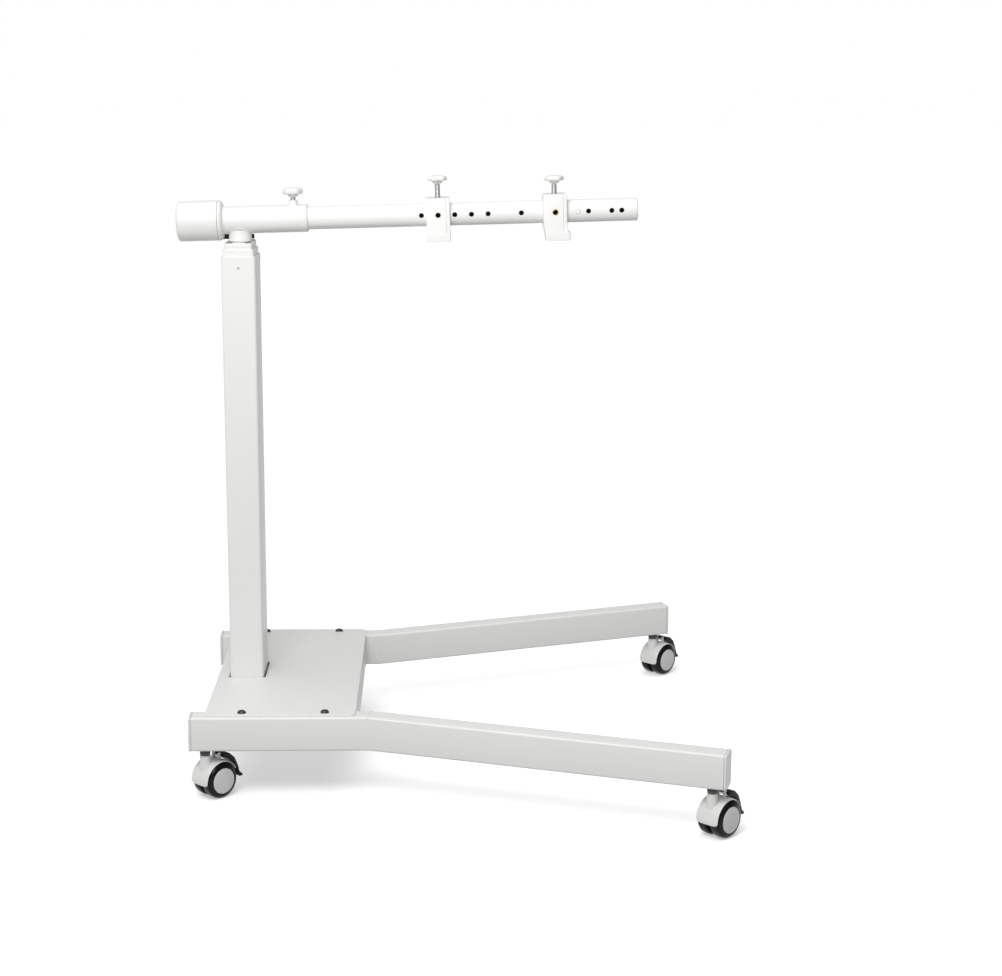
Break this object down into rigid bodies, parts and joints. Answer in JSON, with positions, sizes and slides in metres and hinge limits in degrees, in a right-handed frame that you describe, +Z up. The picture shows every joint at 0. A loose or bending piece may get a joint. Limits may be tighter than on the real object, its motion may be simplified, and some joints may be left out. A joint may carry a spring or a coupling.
{
  "type": "mobile x-ray head stand",
  "caption": "Wheeled stand with a splayed base, three-stage lifting column, swivelling telescopic arm with cylindrical counterweight, and hanging clamps with hand knobs.",
  "frame": {"origin": "centre of the overall box, on the floor", "axes": "+X along the arm towards the open end of the base, +Y towards the left leg, +Z up; right-handed"},
  "size_m": [0.9642, 1.0088, 1.0538],
  "materials": {
    "powder_white": "satin powder coat, fine grain",
    "column_white": "satin powder coat over extruded tube",
    "plastic_white": "moulded, fine texture",
    "plastic_grey": "moulded",
    "plastic_black": "moulded, fine texture",
    "wheel_black": "soft tread on a moulded rim",
    "bright_steel": "zinc plated",
    "dark_steel": "blackened",
    "chrome": "polished",
    "brass": "turned",
    "bronze": "cast bronze",
    "cast_iron": "rough casting",
    "motor_grey": "semi-gloss"
  },
  "bodies": {
    "base": {"left_leg": "powder_white", "right_leg": "powder_white", "leg_end_caps": "plastic_white", "front_crossbeam": "powder_white", "rear_crossbeam": "powder_white", "base_plate": "powder_white", "frame_screws": "bright_steel", "caster_stems": "chrome", "column_mount_plate": "powder_white", "column_outer": "column_white", "outer_glides": "plastic_white", "lift_gearmotor": "motor_grey", "lift_controller": "plastic_black"},
    "drive_screw": {"drive_spindle": "bright_steel"},
    "mid_stage": {"column_mid": "column_white", "mid_glides": "plastic_white", "mid_nut": "bronze"},
    "hollow_screw": {"hollow_spindle": "bright_steel"},
    "inner_stage": {"column_inner": "column_white", "inner_glide": "plastic_white", "inner_nut": "bronze", "column_head": "powder_white", "head_screws": "dark_steel", "swivel_bushes": "bronze"},
    "arm": {"arm_sleeve": "powder_white", "swivel_pivot": "bright_steel", "sleeve_front_bush": "plastic_white", "counterweight_shell": "powder_white", "counterweight_core": "cast_iron", "counterweight_cover": "powder_white", "swivel_lock_bolt": "dark_steel"},
    "lock_lever": {"swivel_lock_lever": "plastic_black"},
    "guide": {"tube_guide_ring": "plastic_grey"},
    "tube": {"arm_tube": "powder_white", "tube_plugs": "plastic_white"},
    "sleeve_pad": {"sleeve_pad": "brass"},
    "sleeve_knob": {"sleeve_knob": "plastic_white"},
    "clamp_1": {"clamp_1_body": "powder_white"},
    "clamp_1_pad": {"clamp_1_pad": "brass"},
    "clamp_1_knob": {"clamp_1_knob": "plastic_white"},
    "clamp_2": {"clamp_2_body": "powder_white", "clamp_2_insert": "brass"},
    "clamp_2_pad": {"clamp_2_pad": "brass"},
    "clamp_2_knob": {"clamp_2_knob": "plastic_white"},
    "rear_left_fork": {"rear_left_hood": "plastic_white"},
    "rear_left_wheel_a": {"rear_left_wheel_outer": "wheel_black"},
    "rear_left_wheel_b": {"rear_left_wheel_inner": "wheel_black"},
    "rear_left_brake": {"rear_left_brake_lever": "plastic_black"},
    "front_left_fork": {"front_left_hood": "plastic_white"},
    "front_left_wheel_a": {"front_left_wheel_outer": "wheel_black"},
    "front_left_wheel_b": {"front_left_wheel_inner": "wheel_black"},
    "front_left_brake": {"front_left_brake_lever": "plastic_black"},
    "rear_right_fork": {"rear_right_hood": "plastic_white"},
    "rear_right_wheel_a": {"rear_right_wheel_outer": "wheel_black"},
    "rear_right_wheel_b": {"rear_right_wheel_inner": "wheel_black"},
    "rear_right_brake": {"rear_right_brake_lever": "plastic_black"},
    "front_right_fork": {"front_right_hood": "plastic_white"},
    "front_right_wheel_a": {"front_right_wheel_outer": "wheel_black"},
    "front_right_wheel_b": {"front_right_wheel_inner": "wheel_black"},
    "front_right_brake": {"front_right_brake_lever": "plastic_black"}
  },
  "joints": [
    {"name": "lift", "type": "slide", "parent": "base", "child": "mid_stage", "axis": [0, 0, 1], "range_m": [0, 0.35]},
    {"name": "lift_inner", "type": "slide", "parent": "mid_stage", "child": "inner_stage", "axis": [0, 0, 1], "range_m": [0, 0.35]},
    {"name": "drive_screw_spin", "type": "hinge", "parent": "base", "child": "drive_screw", "pos_m": [-0.37218, -0.01643, 0.4], "axis": [0, 0, 1], "range_deg": [-12601, 0]},
    {"name": "hollow_screw_spin", "type": "hinge", "parent": "mid_stage", "child": "hollow_screw", "pos_m": [-0.37218, -0.01643, 0.4], "axis": [0, 0, 1], "range_deg": [-12601, 0]},
    {"name": "arm_swivel", "type": "hinge", "parent": "inner_stage", "child": "arm", "pos_m": [-0.37218, -0.01643, 0.936], "axis": [0, 0, 1], "continuous": true},
    {"name": "swivel_lock", "type": "hinge", "parent": "arm", "child": "lock_lever", "pos_m": [-0.40018, 0.01457, 0.9424], "axis": [0, 0, 1], "range_deg": [0, 110]},
    {"name": "arm_extend", "type": "slide", "parent": "arm", "child": "guide", "axis": [0.9996, 0, 0.0295], "range_m": [-0.04, 0.05]},
    {"name": "arm_roll", "type": "hinge", "parent": "guide", "child": "tube", "pos_m": [-0.37218, -0.01643, 0.974], "axis": [0.9996, 0, 0.0295], "range_deg": [-90, 90]},
    {"name": "sleeve_pad_lift", "type": "slide", "parent": "arm", "child": "sleeve_pad", "axis": [-0.0295, 0, 0.9996], "range_m": [0, 0.0065]},
    {"name": "sleeve_knob_turn", "type": "hinge", "parent": "sleeve_pad", "child": "sleeve_knob", "pos_m": [-0.2789, -0.01643, 1.01677], "axis": [-0.0295, 0, 0.9996], "range_deg": [0, 1440]},
    {"name": "clamp_1_slide", "type": "slide", "parent": "tube", "child": "clamp_1", "axis": [0.9996, 0, 0.0295], "range_m": [-0.13, 0.07]},
    {"name": "clamp_2_slide", "type": "slide", "parent": "tube", "child": "clamp_2", "axis": [0.9996, 0, 0.0295], "range_m": [-0.08, 0.11]},
    {"name": "clamp_1_pad_lift", "type": "slide", "parent": "clamp_1", "child": "clamp_1_pad", "axis": [-0.0295, 0, 0.9996], "range_m": [0, 0.0065]},
    {"name": "clamp_1_knob_turn", "type": "hinge", "parent": "clamp_1_pad", "child": "clamp_1_knob", "pos_m": [-0.02551, -0.01643, 1.02425], "axis": [-0.0295, 0, 0.9996], "range_deg": [0, 1440]},
    {"name": "clamp_2_pad_lift", "type": "slide", "parent": "clamp_2", "child": "clamp_2_pad", "axis": [-0.0295, 0, 0.9996], "range_m": [0, 0.0065]},
    {"name": "clamp_2_knob_turn", "type": "hinge", "parent": "clamp_2_pad", "child": "clamp_2_knob", "pos_m": [0.1796, -0.01643, 1.0303], "axis": [-0.0295, 0, 0.9996], "range_deg": [0, 1440]},
    {"name": "rear_left_swivel", "type": "hinge", "parent": "base", "child": "rear_left_fork", "pos_m": [-0.42618, 0.24157, 0.07], "axis": [0, 0, 1], "continuous": true},
    {"name": "rear_left_roll_a", "type": "hinge", "parent": "rear_left_fork", "child": "rear_left_wheel_a", "pos_m": [-0.41204, 0.25571, 0.0315], "axis": [-0.7071, 0.7071, 0], "continuous": true},
    {"name": "rear_left_roll_b", "type": "hinge", "parent": "rear_left_fork", "child": "rear_left_wheel_b", "pos_m": [-0.41204, 0.25571, 0.0315], "axis": [-0.7071, 0.7071, 0], "continuous": true},
    {"name": "rear_left_brake_turn", "type": "hinge", "parent": "rear_left_fork", "child": "rear_left_brake", "pos_m": [-0.40907, 0.25868, 0.07148], "axis": [0.7071, -0.7071, 0], "range_deg": [0, 18]},
    {"name": "front_left_swivel", "type": "hinge", "parent": "base", "child": "front_left_fork", "pos_m": [0.42162, 0.44399, 0.07], "axis": [0, 0, 1], "continuous": true},
    {"name": "front_left_roll_a", "type": "hinge", "parent": "front_left_fork", "child": "front_left_wheel_a", "pos_m": [0.43576, 0.45813, 0.0315], "axis": [-0.7071, 0.7071, 0], "continuous": true},
    {"name": "front_left_roll_b", "type": "hinge", "parent": "front_left_fork", "child": "front_left_wheel_b", "pos_m": [0.43576, 0.45813, 0.0315], "axis": [-0.7071, 0.7071, 0], "continuous": true},
    {"name": "front_left_brake_turn", "type": "hinge", "parent": "front_left_fork", "child": "front_left_brake", "pos_m": [0.43873, 0.4611, 0.07148], "axis": [0.7071, -0.7071, 0], "range_deg": [0, 18]},
    {"name": "rear_right_swivel", "type": "hinge", "parent": "base", "child": "rear_right_fork", "pos_m": [-0.42618, -0.27443, 0.07], "axis": [0, 0, 1], "continuous": true},
    {"name": "rear_right_roll_a", "type": "hinge", "parent": "rear_right_fork", "child": "rear_right_wheel_a", "pos_m": [-0.41204, -0.26029, 0.0315], "axis": [-0.7071, 0.7071, 0], "continuous": true},
    {"name": "rear_right_roll_b", "type": "hinge", "parent": "rear_right_fork", "child": "rear_right_wheel_b", "pos_m": [-0.41204, -0.26029, 0.0315], "axis": [-0.7071, 0.7071, 0], "continuous": true},
    {"name": "rear_right_brake_turn", "type": "hinge", "parent": "rear_right_fork", "child": "rear_right_brake", "pos_m": [-0.40907, -0.25732, 0.07148], "axis": [0.7071, -0.7071, 0], "range_deg": [0, 18]},
    {"name": "front_right_swivel", "type": "hinge", "parent": "base", "child": "front_right_fork", "pos_m": [0.42162, -0.47684, 0.07], "axis": [0, 0, 1], "continuous": true},
    {"name": "front_right_roll_a", "type": "hinge", "parent": "front_right_fork", "child": "front_right_wheel_a", "pos_m": [0.43576, -0.4627, 0.0315], "axis": [-0.7071, 0.7071, 0], "continuous": true},
    {"name": "front_right_roll_b", "type": "hinge", "parent": "front_right_fork", "child": "front_right_wheel_b", "pos_m": [0.43576, -0.4627, 0.0315], "axis": [-0.7071, 0.7071, 0], "continuous": true},
    {"name": "front_right_brake_turn", "type": "hinge", "parent": "front_right_fork", "child": "front_right_brake", "pos_m": [0.43873, -0.45973, 0.07148], "axis": [0.7071, -0.7071, 0], "range_deg": [0, 18]}
  ],
  "couplings": [
    {"joint": "lift_inner", "follows": "lift", "ratio": 1},
    {"joint": "drive_screw_spin", "follows": "lift", "rad_per_m": -628.32},
    {"joint": "hollow_screw_spin", "follows": "lift", "rad_per_m": -628.32},
    {"joint": "sleeve_pad_lift", "follows": "sleeve_knob_turn", "m_per_rad": 0.00023873},
    {"joint": "clamp_1_pad_lift", "follows": "clamp_1_knob_turn", "m_per_rad": 0.00023873},
    {"joint": "clamp_2_pad_lift", "follows": "clamp_2_knob_turn", "m_per_rad": 0.00023873}
  ]
}
